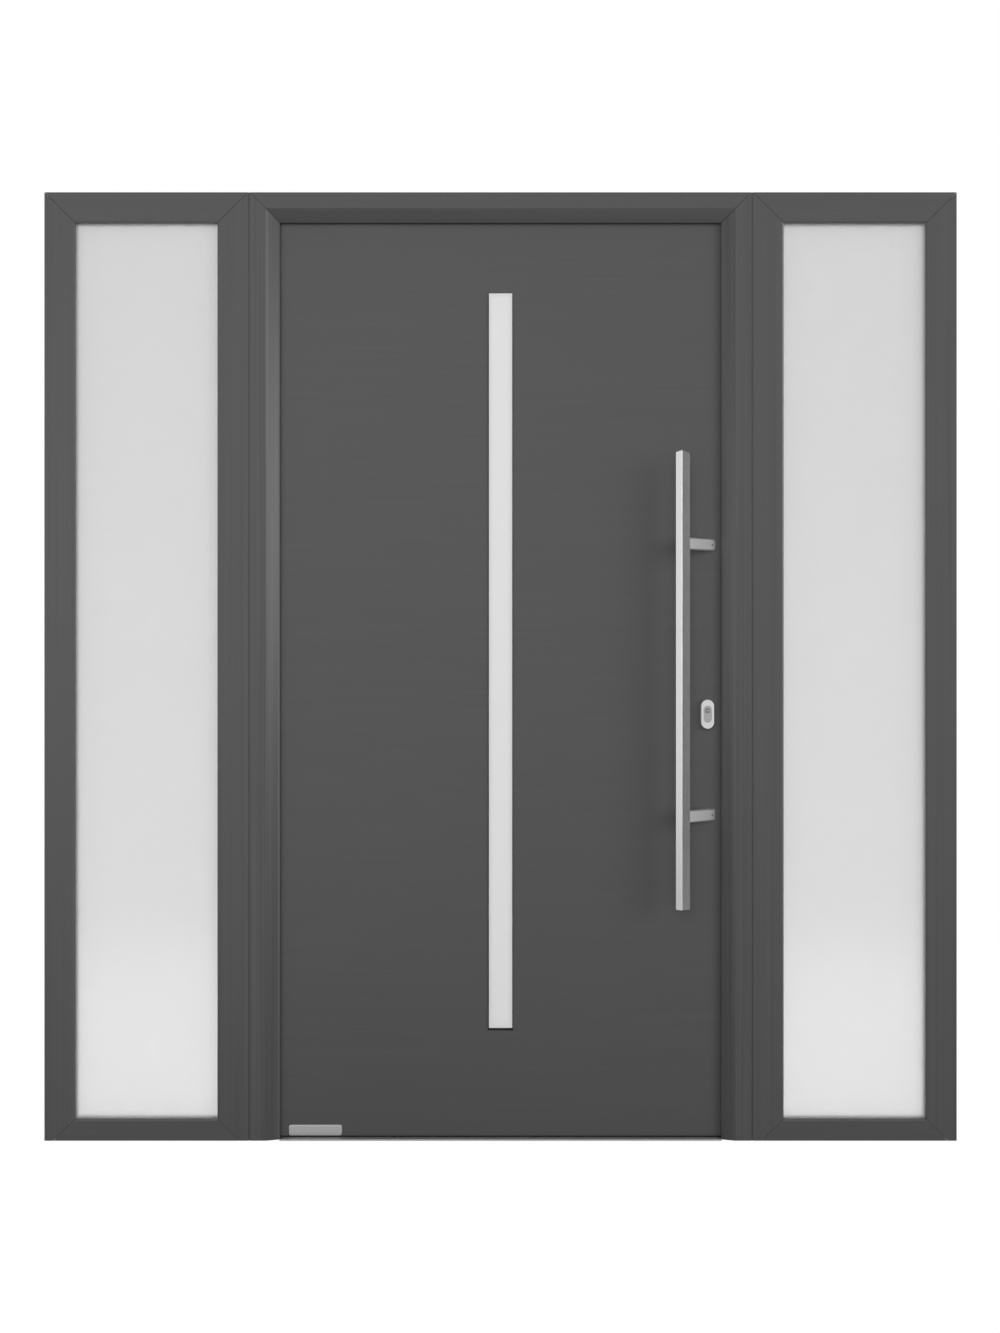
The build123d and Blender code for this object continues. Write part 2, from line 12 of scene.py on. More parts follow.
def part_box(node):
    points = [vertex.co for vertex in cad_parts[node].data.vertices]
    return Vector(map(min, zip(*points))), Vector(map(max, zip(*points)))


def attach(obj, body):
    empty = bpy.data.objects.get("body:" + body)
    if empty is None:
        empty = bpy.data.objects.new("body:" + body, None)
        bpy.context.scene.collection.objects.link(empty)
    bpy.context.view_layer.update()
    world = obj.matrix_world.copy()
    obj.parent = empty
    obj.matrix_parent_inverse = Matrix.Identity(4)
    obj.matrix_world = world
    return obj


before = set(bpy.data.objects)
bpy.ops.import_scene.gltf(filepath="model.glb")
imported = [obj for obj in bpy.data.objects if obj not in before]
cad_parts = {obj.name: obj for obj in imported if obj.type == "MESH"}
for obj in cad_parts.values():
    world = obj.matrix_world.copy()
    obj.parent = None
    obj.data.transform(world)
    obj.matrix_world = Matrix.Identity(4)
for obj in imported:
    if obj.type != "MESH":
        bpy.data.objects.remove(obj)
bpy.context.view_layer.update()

log = logging.getLogger("front_door")

MM = 0.001
Colour = tuple[float, float, float]
Point = tuple[float, float]
Loop = list[bmesh.types.BMVert]


class Run(Enum):
    """Axis along which the fine lines of a finish run."""

    LEVEL = 0
    UPRIGHT = 2


class Side(Enum):
    """The two sidelights, as seen from outside."""

    LEFT = "left"
    RIGHT = "right"


class Recess(Enum):
    """Recess in the head of a fastener or in the plug of a lock."""

    CROSS = "cross"
    HEX = "hex"
    SLOT = "slot"


# Shader node helpers


class NodeSheet:
    """Adds nodes to a shader tree and links them.

    Args:
        tree: Node tree of a material, a world or a node group.
    """

    def __init__(self, tree: bpy.types.NodeTree) -> None:
        """Keeps the tree."""
        self.tree = tree

    def add(self, kind: str, **settings: object) -> bpy.types.Node:
        """Adds a node.

        Args:
            kind: Node type without its "ShaderNode" prefix.
            settings: Properties of the node.

        Returns:
            The new node.
        """
        prefix = "" if kind.startswith("NodeGroup") else "ShaderNode"
        node = self.tree.nodes.new(prefix + kind)
        for key, value in settings.items():
            setattr(node, key, value)
        return node

    def feed(self, target: bpy.types.NodeSocket, source: bpy.types.NodeSocket | object) -> None:
        """Links a socket to another one, or sets its value.

        Args:
            target: Input socket.
            source: Output socket to link from, or a plain value.
        """
        if isinstance(source, bpy.types.NodeSocket):
            self.tree.links.new(source, target)
        else:
            target.default_value = source

    def math(self, operation: str, first: object, second: object) -> bpy.types.NodeSocket:
        """Adds a math node.

        Args:
            operation: Name of the operation.
            first: Socket or number.
            second: Socket or number.

        Returns:
            The result socket.
        """
        node = self.add("Math", operation=operation)
        self.feed(node.inputs[0], first)
        self.feed(node.inputs[1], second)
        return node.outputs[0]

    def noise(self, vector: bpy.types.NodeSocket, scale: object, detail: float) -> bpy.types.NodeSocket:
        """Adds a noise texture.

        Args:
            vector: Coordinates.
            scale: Socket or number.
            detail: Number of octaves.

        Returns:
            The noise value, from 0 to 1.
        """
        node = self.add("TexNoise")
        self.feed(node.inputs["Vector"], vector)
        self.feed(node.inputs["Scale"], scale)
        node.inputs["Detail"].default_value = detail
        return node.outputs["Fac"]

    def ramp(self, value: bpy.types.NodeSocket, source: Point, target: Point) -> bpy.types.NodeSocket:
        """Adds a smooth step from one level to another.

        Args:
            value: Socket that drives the step.
            source: Values between which the step runs.
            target: Levels before and after it.

        Returns:
            The result socket.
        """
        node = self.add("MapRange", interpolation_type="SMOOTHSTEP")
        self.feed(node.inputs["Value"], value)
        for end, low_high in (("From", source), ("To", target)):
            node.inputs[f"{end} Min"].default_value = low_high[0]
            node.inputs[f"{end} Max"].default_value = low_high[1]
        return node.outputs["Result"]


def new_group(name: str, inputs: dict[str, str], outputs: dict[str, str]) -> NodeSheet:
    """Starts a shader node group.

    Args:
        name: Name of the group.
        inputs: Socket types of the inputs by name.
        outputs: Socket types of the outputs by name.

    Returns:
        A sheet for the group's tree, with its input and output nodes in place.
    """
    tree = bpy.data.node_groups.new(name, "ShaderNodeTree")
    for socket, kind in inputs.items():
        tree.interface.new_socket(socket, in_out="INPUT", socket_type="NodeSocket" + kind)
    for socket, kind in outputs.items():
        tree.interface.new_socket(socket, in_out="OUTPUT", socket_type="NodeSocket" + kind)
    sheet = NodeSheet(tree)
    sheet.add("NodeGroupInput", name="in")
    sheet.add("NodeGroupOutput", name="out")
    return sheet


class Effects:
    """Surface effects shared by several finishes, each a node group built once."""

    LINED = "lined_surface"
    SPECKLED = "speckled_surface"
    FINE_LINES = 0.6
    BROAD_LINES = 0.3
    LINE_CLOUDS = 0.1
    BROAD_SCALE = 0.24
    LINE_CLOUD_SCALE = 2.6
    SPECKS = 0.55
    SPECK_CLOUDS = 0.45
    SPECK_CLOUD_SCALE = 3.1
    MEAN_NOISE = 0.5

    @classmethod
    def group(cls, name: str) -> bpy.types.NodeTree:
        """Finds a group by name, and builds it at first use.

        Args:
            name: LINED or SPECKLED.

        Returns:
            The node group.
        """
        found = bpy.data.node_groups.get(name)
        if found is None:
            found = cls._lined() if name == cls.LINED else cls._speckled()
        return found

    @classmethod
    def _outputs(cls) -> dict[str, str]:
        """Names the outputs that both groups have."""
        return {"Colour": "Color", "Roughness": "Float", "Height": "Float"}

    @classmethod
    def _finish(cls, sheet: NodeSheet, shade: object, height: object) -> bpy.types.NodeTree:
        """Shades the colour and roughness of a group and sends them out.

        Args:
            sheet: Sheet of the group.
            shade: Pattern round zero that makes the colour lighter or darker.
            height: Pattern for the bump.

        Returns:
            The finished tree.
        """
        given = sheet.tree.nodes["in"].outputs
        out = sheet.tree.nodes["out"].inputs
        tone = sheet.math("MULTIPLY", shade, given["Contrast"])
        scale = sheet.add("VectorMath", operation="SCALE")
        sheet.feed(scale.inputs["Vector"], given["Colour"])
        sheet.feed(scale.inputs["Scale"], sheet.math("ADD", tone, 1.0))
        rough = sheet.math("MULTIPLY", shade, given["Gloss Change"])
        sheet.feed(out["Colour"], scale.outputs["Vector"])
        sheet.feed(out["Roughness"], sheet.math("ADD", rough, given["Roughness"]))
        sheet.feed(out["Height"], height)
        return sheet.tree

    @classmethod
    def _lined(cls) -> bpy.types.NodeTree:
        """Builds long fine lines over broad soft clouds, as on brushed or drawn metal."""
        inputs = {
            "Colour": "Color", "Lines": "Vector", "Contrast": "Float",
            "Roughness": "Float", "Gloss Change": "Float",
        }
        sheet = new_group(cls.LINED, inputs, cls._outputs())
        given = sheet.tree.nodes["in"].outputs
        place = sheet.add("TexCoord").outputs["Object"]
        stretched = sheet.add("VectorMath", operation="MULTIPLY")
        sheet.feed(stretched.inputs[0], place)
        sheet.feed(stretched.inputs[1], given["Lines"])
        fine = sheet.noise(stretched.outputs[0], 1.0, 3.0)
        broad = sheet.noise(stretched.outputs[0], cls.BROAD_SCALE, 2.0)
        cloud = sheet.noise(place, cls.LINE_CLOUD_SCALE, 2.0)
        fine_part = sheet.math("MULTIPLY", fine, cls.FINE_LINES)
        lines = sheet.math("ADD", fine_part, sheet.math("MULTIPLY", broad, cls.BROAD_LINES))
        mixed = sheet.math("ADD", lines, sheet.math("MULTIPLY", cloud, cls.LINE_CLOUDS))
        return cls._finish(sheet, sheet.math("SUBTRACT", mixed, cls.MEAN_NOISE), fine)

    @classmethod
    def _speckled(cls) -> bpy.types.NodeTree:
        """Builds fine even speckle, as on etched glass, moulded plastic or rubber."""
        inputs = {
            "Colour": "Color", "Grain": "Float", "Contrast": "Float",
            "Roughness": "Float", "Gloss Change": "Float",
        }
        sheet = new_group(cls.SPECKLED, inputs, cls._outputs())
        given = sheet.tree.nodes["in"].outputs
        place = sheet.add("TexCoord").outputs["Object"]
        speck = sheet.noise(place, given["Grain"], 2.0)
        cloud = sheet.noise(place, cls.SPECK_CLOUD_SCALE, 3.0)
        speck_part = sheet.math("MULTIPLY", speck, cls.SPECKS)
        mixed = sheet.math("ADD", speck_part, sheet.math("MULTIPLY", cloud, cls.SPECK_CLOUDS))
        return cls._finish(sheet, sheet.math("SUBTRACT", mixed, cls.MEAN_NOISE), speck)


# Finishes


@dataclass(frozen=True)
class Finish:
    """A surface finish, made into one material at first use.

    Args:
        name: Name of the material.
        colour: Linear base colour.
        roughness: Mean roughness.
        contrast: How much the pattern shades the colour.
        gloss_change: How much the pattern shades the roughness.
        relief: Strength of the bump.
        depth: Depth of the bump, in metres.
    """

    name: str
    colour: Colour
    roughness: float
    contrast: float = 0.15
    gloss_change: float = 0.1
    relief: float = 0.2
    depth: float = 0.05 * MM

    def material(self) -> bpy.types.Material:
        """Finds or builds the material.

        Returns:
            The material.
        """
        found = bpy.data.materials.get(self.name)
        return found or self._build()

    def _effect(self, sheet: NodeSheet) -> bpy.types.Node:
        """Adds the node of the effect that this finish uses.

        Args:
            sheet: Sheet of the material.

        Returns:
            The group node, with the pattern's own inputs set.
        """
        raise NotImplementedError

    def _shader(self, shader: bpy.types.Node) -> None:
        """Sets the plain values of the shader that this kind of finish needs."""

    def _build(self) -> bpy.types.Material:
        """Builds the material from the effect, a bump and one shader.

        Returns:
            The new material.
        """
        made = bpy.data.materials.new(self.name)
        made.use_nodes = True
        made.diffuse_color = (*self.colour, 1.0)
        sheet = NodeSheet(made.node_tree)
        shader = made.node_tree.nodes["Principled BSDF"]
        effect = self._effect(sheet)
        effect.inputs["Colour"].default_value = (*self.colour, 1.0)
        effect.inputs["Roughness"].default_value = self.roughness
        effect.inputs["Contrast"].default_value = self.contrast
        effect.inputs["Gloss Change"].default_value = self.gloss_change
        bump = sheet.add("Bump")
        bump.inputs["Strength"].default_value = self.relief
        bump.inputs["Distance"].default_value = self.depth
        sheet.feed(bump.inputs["Height"], effect.outputs["Height"])
        sheet.feed(shader.inputs["Base Color"], effect.outputs["Colour"])
        sheet.feed(shader.inputs["Roughness"], effect.outputs["Roughness"])
        sheet.feed(shader.inputs["Normal"], bump.outputs["Normal"])
        self._shader(shader)
        log.info("finish %s", self.name)
        return made


@dataclass(frozen=True)
class LinedFinish(Finish):
    """A finish with fine lines along one axis.

    Args:
        run: Axis along which the lines run.
        line_pitch: Distance from line to line, in metres.
        line_length: Length of a line, in metres.
    """

    run: Run = Run.UPRIGHT
    line_pitch: float = 2.6 * MM
    line_length: float = 180 * MM

    def _effect(self, sheet: NodeSheet) -> bpy.types.Node:
        """Adds the lined effect, stretched along the run.

        Args:
            sheet: Sheet of the material.

        Returns:
            The group node.
        """
        node = sheet.add("Group", node_tree=Effects.group(Effects.LINED))
        lines = [1 / self.line_pitch] * 3
        lines[self.run.value] = 1 / self.line_length
        node.inputs["Lines"].default_value = lines
        return node


@dataclass(frozen=True)
class Coating(LinedFinish):
    """Matt anthracite coating with a fine drawn texture."""


@dataclass(frozen=True)
class Metal(LinedFinish):
    """Bare brushed metal."""

    def _shader(self, shader: bpy.types.Node) -> None:
        """Makes the shader a metal."""
        shader.inputs["Metallic"].default_value = 1.0


@dataclass(frozen=True)
class Speckled(Finish):
    """A finish with fine even speckle.

    Args:
        grain: Specks per metre.
    """

    grain: float = 900.0

    def _effect(self, sheet: NodeSheet) -> bpy.types.Node:
        """Adds the speckled effect.

        Args:
            sheet: Sheet of the material.

        Returns:
            The group node.
        """
        node = sheet.add("Group", node_tree=Effects.group(Effects.SPECKLED))
        node.inputs["Grain"].default_value = self.grain
        return node


@dataclass(frozen=True)
class Rubber(Speckled):
    """Dull rubber or plastic.

    Args:
        shine: Level of the reflection at the surface.
    """

    shine: float = 0.2

    def _shader(self, shader: bpy.types.Node) -> None:
        """Dulls the shader."""
        shader.inputs["Specular IOR Level"].default_value = self.shine


@dataclass(frozen=True)
class SatinGlass(Speckled):
    """Etched glass that lets light through but no view.

    Args:
        clear: Share of the light that passes.
        ior: Index of refraction.
    """

    clear: float = 0.75
    ior: float = 1.48

    def _shader(self, shader: bpy.types.Node) -> None:
        """Lets light through the shader."""
        shader.inputs["Transmission Weight"].default_value = self.clear
        shader.inputs["IOR"].default_value = self.ior


ANTHRACITE: Colour = (0.0492, 0.0492, 0.0513)
STAINLESS: Colour = (0.76, 0.76, 0.76)

LEAF_COAT = Coating(
    "leaf_coat", ANTHRACITE, roughness=0.43, contrast=0.5, gloss_change=0.2, relief=0.25, run=Run.LEVEL,
)
LEVEL_COAT = replace(LEAF_COAT, name="frame_coat_level")
UPRIGHT_COAT = replace(
    LEAF_COAT, name="frame_coat_upright", contrast=0.9, run=Run.UPRIGHT,
    line_pitch=4 * MM, line_length=900 * MM,
)
JAMB_COAT = replace(UPRIGHT_COAT, name="frame_coat_jamb", contrast=1.8, gloss_change=0.3)
SATIN_GLASS = SatinGlass(
    "satin_etched_glass", (0.93, 0.932, 0.93), roughness=0.2, contrast=0.02, relief=0.1, clear=0.84,
)
STRIP_GLASS = replace(
    SATIN_GLASS, name="satin_strip_glass", colour=(0.95, 0.952, 0.95), roughness=0.5, clear=0.35,
)
SEAL_RUBBER = Rubber(
    "black_seal_rubber", (0.014, 0.014, 0.014), roughness=0.62, contrast=0.3, gloss_change=0.15,
    relief=0.3, depth=0.1 * MM,
)
GLAZING_RUBBER = replace(
    SEAL_RUBBER, name="grey_glazing_rubber", colour=(0.48, 0.48, 0.48), roughness=0.6, contrast=0.2,
)
BREAK_PLASTIC = replace(
    SEAL_RUBBER, name="black_break_plastic", colour=(0.02, 0.02, 0.021), roughness=0.5, contrast=0.25,
)
SPACER_METAL = Metal(
    "spacer_aluminium", (0.9, 0.9, 0.91), roughness=0.4, contrast=0.2, gloss_change=0.2, line_pitch=1 * MM,
)
UPRIGHT_STEEL = Metal(
    "brushed_steel_upright", STAINLESS, roughness=0.24, contrast=0.1, gloss_change=0.04, relief=0.05,
    line_pitch=0.5 * MM, line_length=90 * MM,
)
LEVEL_STEEL = replace(
    UPRIGHT_STEEL, name="brushed_steel_level", roughness=0.27, run=Run.LEVEL, line_length=60 * MM,
)
# Partly painted light: the supports' satin roughness is real, but their colour is a lighter copy of the
# bar's steel so that they read more brightly lit.
SUPPORT_STEEL_PAINTED_LIGHT = replace(
    LEVEL_STEEL, name="satin_steel_level_painted_light", colour=(0.86, 0.86, 0.86), roughness=0.42,
)
ROSE_STEEL = Metal(
    "satin_steel_rose", (0.6, 0.6, 0.6), roughness=0.42, contrast=0.14, gloss_change=0.08, relief=0.15,
    line_pitch=0.5 * MM, line_length=40 * MM,
)
HINGE_STEEL = replace(
    ROSE_STEEL, name="satin_steel_hinge", colour=(0.46, 0.46, 0.46), roughness=0.36, line_length=60 * MM,
)
CYLINDER_NICKEL = Metal(
    "satin_nickel", (0.36, 0.355, 0.35), roughness=0.36, contrast=0.2, line_pitch=0.6 * MM,
    line_length=25 * MM,
)
# Painted shade: the plug faces get a darker copy of the cylinder's nickel, standing in for the shade in
# the keyway.
PLUG_NICKEL_PAINTED_SHADE = replace(CYLINDER_NICKEL, name="plug_nickel_painted_shade", colour=(0.2, 0.198, 0.195))
PLATE_SILVER = Metal(
    "plate_silver", (0.54, 0.54, 0.55), roughness=0.34, gloss_change=0.2, relief=0.15, run=Run.LEVEL,
    line_pitch=0.5 * MM, line_length=50 * MM,
)
SCREW_STEEL = Metal(
    "screw_steel", (0.3, 0.3, 0.3), roughness=0.34, contrast=0.2, depth=0.03 * MM, line_pitch=0.4 * MM,
    line_length=4 * MM,
)
GRUB_BLACK = Rubber(
    "black_grub_steel", (0.03, 0.03, 0.03), roughness=0.45, contrast=0.2, depth=0.03 * MM, grain=2200.0,
)
THRESHOLD_METAL = Metal(
    "grey_anodised", (0.4, 0.4, 0.405), roughness=0.42, contrast=0.3, gloss_change=0.2, run=Run.LEVEL,
    line_pitch=0.8 * MM, line_length=150 * MM,
)


# Meshes

JOIN_DISTANCE = 0.01 * MM
SHARP_ANGLE = math.radians(28)
BEVEL_STEPS = 2


def dress(nodes: str | Iterable[str], finish: Finish, edge: float = 0.0) -> None:
    """Gives CAD nodes their finish and, where wanted, a fine rounded edge.

    Args:
        nodes: Name of a node, or names of several.
        finish: Finish of the nodes.
        edge: Width of the rounded edge in metres, or 0 for none.
    """
    for name in [nodes] if isinstance(nodes, str) else nodes:
        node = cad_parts[name]
        node.data.materials.clear()
        node.data.materials.append(finish.material())
        if edge:
            weld = node.modifiers.new("join_facets", "WELD")
            weld.merge_threshold = JOIN_DISTANCE
            bevel = node.modifiers.new("fine_edge", "BEVEL")
            bevel.width = edge
            bevel.segments = BEVEL_STEPS
            bevel.limit_method = "ANGLE"
            bevel.angle_limit = SHARP_ANGLE
            bevel.harden_normals = True
        log.info("node %s: %s", name, finish.name)


def add_piece(name: str, mesh: bmesh.types.BMesh, finish: Finish, body: str) -> None:
    """Makes an object of a mesh and lets it ride on a body.

    Args:
        name: Name of the piece.
        mesh: Mesh in the frame's own coordinates; it is freed here.
        finish: Finish of the piece.
        body: Body that carries the piece.
    """
    bmesh.ops.recalc_face_normals(mesh, faces=mesh.faces)
    data = bpy.data.meshes.new(name)
    mesh.to_mesh(data)
    mesh.free()
    data.materials.append(finish.material())
    piece = bpy.data.objects.new(name, data)
    bpy.context.scene.collection.objects.link(piece)
    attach(piece, body)
    log.info("piece %s: %d faces", name, len(data.polygons))


def round_points(radius: float, count: int) -> list[Point]:
    """Gives the corners of a regular polygon.

    Args:
        radius: Distance of the corners from the middle.
        count: Number of corners.

    Returns:
        The corners, in order.
    """
    angles = [2 * math.pi * step / count for step in range(count)]
    return [(radius * math.cos(angle), radius * math.sin(angle)) for angle in angles]


def rounded_rectangle(width: float, height: float, radius: float, steps: int = 8) -> list[Point]:
    """Gives the outline of a rectangle with rounded corners.

    Args:
        width: Size along the first axis.
        height: Size along the second axis.
        radius: Corner radius.
        steps: Number of edges in a corner.

    Returns:
        The outline's points, in order.
    """
    points = []
    for quarter, (across, up) in enumerate(((1, 1), (-1, 1), (-1, -1), (1, -1))):
        middle = (across * (width / 2 - radius), up * (height / 2 - radius))
        for step in range(steps + 1):
            angle = math.pi / 2 * (quarter + step / steps)
            points.append((middle[0] + radius * math.cos(angle), middle[1] + radius * math.sin(angle)))
    return points


def add_ring(mesh: bmesh.types.BMesh, place: Matrix, points: Sequence[Point], lift: float) -> Loop:
    """Adds a loop of points at one height over a seat.

    Args:
        mesh: Mesh that gets the points.
        place: Seat, with its Z axis outward.
        points: Outline in the plane of the seat.
        lift: Height over the seat.

    Returns:
        The loop's corners, in order.
    """
    return [mesh.verts.new(place @ Vector((x, y, lift))) for x, y in points]


def bridge(mesh: bmesh.types.BMesh, lower: Loop, upper: Loop) -> None:
    """Joins two loops of equal length with a band of faces.

    Args:
        mesh: Mesh that holds the loops.
        lower: First loop.
        upper: Second loop.
    """
    for step in range(len(lower)):
        after = (step + 1) % len(lower)
        mesh.faces.new((lower[step], lower[after], upper[after], upper[step]))


def loop_edges(mesh: bmesh.types.BMesh, loop: Loop) -> list[bmesh.types.BMEdge]:
    """Finds or adds the edges round a loop.

    Args:
        mesh: Mesh that holds the loop.
        loop: Corners in order.

    Returns:
        The edges in order.
    """
    edges = []
    for step, corner in enumerate(loop):
        after = loop[(step + 1) % len(loop)]
        edges.append(mesh.edges.get((corner, after)) or mesh.edges.new((corner, after)))
    return edges


HEAD_PROFILE = ((1.0, -0.6), (1.0, 0.35), (0.94, 0.72), (0.82, 0.94), (0.7, 1.0))
RECESS_TAPER = 0.85


@dataclass(frozen=True)
class Head:
    """A low domed round head with a recess, such as a screw's.

    Args:
        radius: Radius of the head.
        rise: Height over the seat.
        recess: Shape of the recess.
        recess_size: Width of the recess from side to side.
        recess_depth: Depth of the recess.
        sides: Number of edges round the head.
    """

    radius: float
    rise: float
    recess: Recess
    recess_size: float
    recess_depth: float
    sides: int = 28

    def outline(self) -> list[Point]:
        """Draws the mouth of the recess.

        Returns:
            Its corners, in order.
        """
        half = self.recess_size / 2
        if self.recess is Recess.HEX:
            return round_points(half, 6)
        if self.recess is Recess.SLOT:
            return [(half, half / 5), (-half, half / 5), (-half, -half / 5), (half, -half / 5)]
        arm = half / 4
        return [
            (half, arm), (arm, arm), (arm, half), (-arm, half), (-arm, arm), (-half, arm),
            (-half, -arm), (-arm, -arm), (-arm, -half), (arm, -half), (arm, -arm), (half, -arm),
        ]

    def add_to(self, mesh: bmesh.types.BMesh, seat: Vector, outward: Vector) -> None:
        """Adds one head to a mesh.

        Args:
            mesh: Mesh that gets the head.
            seat: Middle of the head on the surface that carries it.
            outward: Direction in which the head looks.
        """
        place = Matrix.Translation(seat) @ outward.to_track_quat("Z", "Y").to_matrix().to_4x4()
        rings = [
            add_ring(mesh, place, round_points(self.radius * share, self.sides), self.rise * lift)
            for share, lift in HEAD_PROFILE
        ]
        for lower, upper in zip(rings, rings[1:]):
            bridge(mesh, lower, upper)
        mesh.faces.new(rings[0])
        mouth = self.outline()
        rim = add_ring(mesh, place, mouth, self.rise)
        narrowed = [(RECESS_TAPER * x, RECESS_TAPER * y) for x, y in mouth]
        floor = add_ring(mesh, place, narrowed, self.rise - self.recess_depth)
        edges = loop_edges(mesh, rings[-1]) + loop_edges(mesh, rim)
        bmesh.ops.triangle_fill(mesh, use_beauty=True, edges=edges, normal=outward)
        bridge(mesh, rim, floor)
        mesh.faces.new(floor)


def add_heads(
    name: str, head: Head, seats: Iterable[Vector], outward: Vector, finish: Finish, body: str,
) -> None:
    """Adds a row of equal heads as one piece.

    Args:
        name: Name of the piece.
        head: The head.
        seats: Middle of each head on its surface.
        outward: Direction in which the heads look.
        finish: Finish of the heads.
        body: Body that carries them.
    """
    mesh = bmesh.new()
    for seat in seats:
        head.add_to(mesh, seat, outward)
    add_piece(name, mesh, finish, body)


PLATE_SCREW = Head(
    radius=4.0 * MM, rise=0.6 * MM, recess=Recess.CROSS, recess_size=4.2 * MM, recess_depth=1.0 * MM,
)
GRUB_SCREW = Head(
    radius=2.6 * MM, rise=0.4 * MM, recess=Recess.HEX, recess_size=2.8 * MM, recess_depth=1.6 * MM,
    sides=20,
)
CYLINDER_PLUG = Head(
    radius=6.4 * MM, rise=0.5 * MM, recess=Recess.SLOT, recess_size=8.4 * MM, recess_depth=5.0 * MM,
    sides=36,
)


# The door, piece by piece


@dataclass
class DoorFrame:
    """Frame of the door with its threshold, seal and strike plates.

    Args:
        edge: Rounded edge of the profiles.
        seal_edge: Rounded edge of the seal.
        strike_heights: Middle height of each strike plate.
        strike_spans: Distance between the two screws of each strike plate.
    """

    edge: float = 0.6 * MM
    seal_edge: float = 0.8 * MM
    strike_heights: tuple[float, ...] = (332 * MM, 998 * MM, 1572 * MM)
    strike_spans: tuple[float, ...] = (86 * MM, 178 * MM, 86 * MM)

    def build(self) -> None:
        """Dresses the frame and adds the screws of the strike plates."""
        for jamb in ("hinge_jamb", "lock_jamb"):
            dress([f"{jamb}_outer_profile", f"{jamb}_inner_profile"], JAMB_COAT, self.edge)
        dress(["head_outer_profile", "head_inner_profile"], LEVEL_COAT, self.edge)
        dress("coupling_strips", UPRIGHT_COAT)
        dress("frame_thermal_breaks", BREAK_PLASTIC)
        dress("rebate_seal", SEAL_RUBBER, self.seal_edge)
        dress("threshold", THRESHOLD_METAL)
        dress("strike_plates", UPRIGHT_STEEL)
        low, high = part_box("strike_plates")
        middle = (low.y + high.y) / 2
        seats = [
            Vector((low.x, middle, height + sign * span / 2))
            for height, span in zip(self.strike_heights, self.strike_spans)
            for sign in (-1, 1)
        ]
        add_heads("strike_screws", PLATE_SCREW, seats, Vector((-1, 0, 0)), SCREW_STEEL, "frame")


@dataclass
class Sidelight:
    """Glazed light beside the door.

    Args:
        side: Side on which it stands.
        edge: Rounded edge of the profiles and gaskets.
    """

    side: Side
    edge: float = 0.6 * MM

    def build(self) -> None:
        """Dresses the profiles, panes, gaskets, spacer and beads."""
        name = self.side.value
        dress([f"{name}_outer_stile", f"{name}_inner_stile"], UPRIGHT_COAT, self.edge)
        dress([f"{name}_top_rail", f"{name}_bottom_rail"], LEVEL_COAT, self.edge)
        dress([f"{name}_inner_profiles", f"{name}_glazing_beads"], UPRIGHT_COAT, self.edge)
        dress([f"{name}_outer_pane", f"{name}_inner_pane"], SATIN_GLASS)
        dress(f"{name}_glazing_gaskets", GLAZING_RUBBER, self.edge)
        dress(f"{name}_spacer", SPACER_METAL)


@dataclass
class Leaf:
    """Door leaf with its glass strip.

    Args:
        edge: Rounded edge of the strip's panes.
    """

    edge: float = 0.5 * MM

    def build(self) -> None:
        """Dresses the panels and the glazed strip."""
        dress(["leaf_outer_panel", "leaf_inner_panel"], LEAF_COAT)
        dress("leaf_thermal_break", BREAK_PLASTIC)
        dress(["strip_outer_pane", "strip_inner_pane"], STRIP_GLASS, self.edge)
        dress("strip_spacer", SPACER_METAL)
        dress("strip_gasket", SEAL_RUBBER)
        dress("strip_inside_trim", UPRIGHT_COAT)


@dataclass
class PullHandle:
    """Long pull bar on two slanted supports.

    Args:
        support_heights: Height of each support.
        screw_x: Place of the grub screws across the leaf.
        screw_y: Depth of the grub screws, on the outer side of the supports.
    """

    support_heights: tuple[float, ...] = (720 * MM, 1320 * MM)
    screw_x: float = 470.7 * MM
    screw_y: float = -29.3 * MM

    def build(self) -> None:
        """Dresses the bar and its supports and adds their grub screws."""
        dress("pull_bar", UPRIGHT_STEEL)
        dress("pull_bar_supports", SUPPORT_STEEL_PAINTED_LIGHT)
        seats = [Vector((self.screw_x, self.screw_y, height)) for height in self.support_heights]
        outward = Vector((1, -1, 0)).normalized()
        add_heads("support_grub_screws", GRUB_SCREW, seats, outward, GRUB_BLACK, "leaf")


